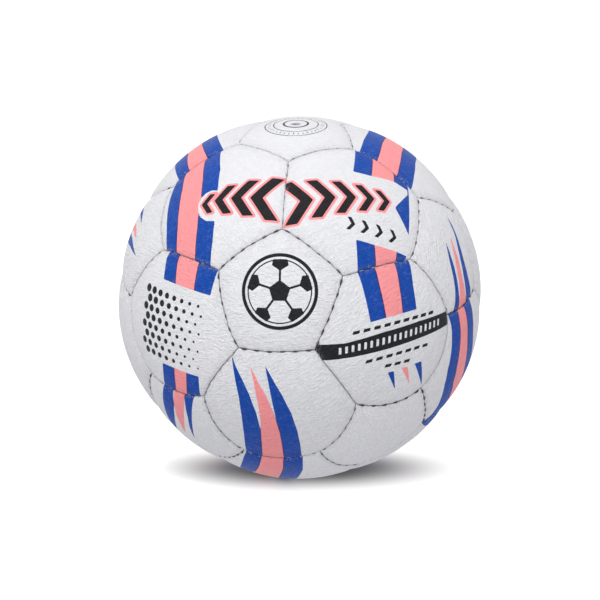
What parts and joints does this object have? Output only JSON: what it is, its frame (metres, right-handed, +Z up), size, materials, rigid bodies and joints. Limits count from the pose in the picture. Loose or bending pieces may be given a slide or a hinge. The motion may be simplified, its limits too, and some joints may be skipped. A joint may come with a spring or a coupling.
{
  "type": "handball",
  "caption": "Hand-stitched inflated ball with white synthetic leather panels, coral and blue stripes, seam thread, cloth backing, bladder and pull-out valve plug.",
  "frame": {"origin": "centre of the ball", "axes": "+Z up as the ball lies in use, -Y towards the viewer, with the valve leaning 14 degrees from +Z towards -Y"},
  "size_m": [0.174, 0.1744, 0.1736],
  "materials": {
    "panel_leather": "satin",
    "backing_cloth": "matte",
    "seam_thread": "satin",
    "bladder_rubber": "matte",
    "boot_rubber": "matte",
    "plug_rubber": "satin"
  },
  "bodies": {
    "ball": {"pentagon_panel_01": "panel_leather", "pentagon_panel_02": "panel_leather", "pentagon_panel_03": "panel_leather", "pentagon_panel_04": "panel_leather", "pentagon_panel_05": "panel_leather", "pentagon_panel_06": "panel_leather", "pentagon_panel_07": "panel_leather", "pentagon_panel_08": "panel_leather", "pentagon_panel_09": "panel_leather", "pentagon_panel_10": "panel_leather", "pentagon_panel_11": "panel_leather", "pentagon_panel_12": "panel_leather", "hexagon_panel_01": "panel_leather", "hexagon_panel_02": "panel_leather", "hexagon_panel_03": "panel_leather", "hexagon_panel_04": "panel_leather", "hexagon_panel_05": "panel_leather", "hexagon_panel_06": "panel_leather", "hexagon_panel_07": "panel_leather", "hexagon_panel_08": "panel_leather", "hexagon_panel_09": "panel_leather", "hexagon_panel_10": "panel_leather", "hexagon_panel_11": "panel_leather", "hexagon_panel_12": "panel_leather", "hexagon_panel_13": "panel_leather", "hexagon_panel_14": "panel_leather", "hexagon_panel_15": "panel_leather", "hexagon_panel_16": "panel_leather", "hexagon_panel_17": "panel_leather", "hexagon_panel_18": "panel_leather", "hexagon_panel_19": "panel_leather", "hexagon_panel_20": "panel_leather", "pentagon_backings": "backing_cloth", "hexagon_backings": "backing_cloth", "pentagon_seam_stitching": "seam_thread", "hexagon_seam_stitching": "seam_thread", "bladder": "bladder_rubber", "valve_boot": "boot_rubber", "valve_patch": "bladder_rubber"},
    "plug": {"valve_plug": "plug_rubber"}
  },
  "joints": [
    {"name": "valve_plug_pull", "type": "slide", "parent": "ball", "child": "plug", "axis": [-0.0214, -0.2444, 0.9694], "range_m": [0, 0.03]}
  ]
}
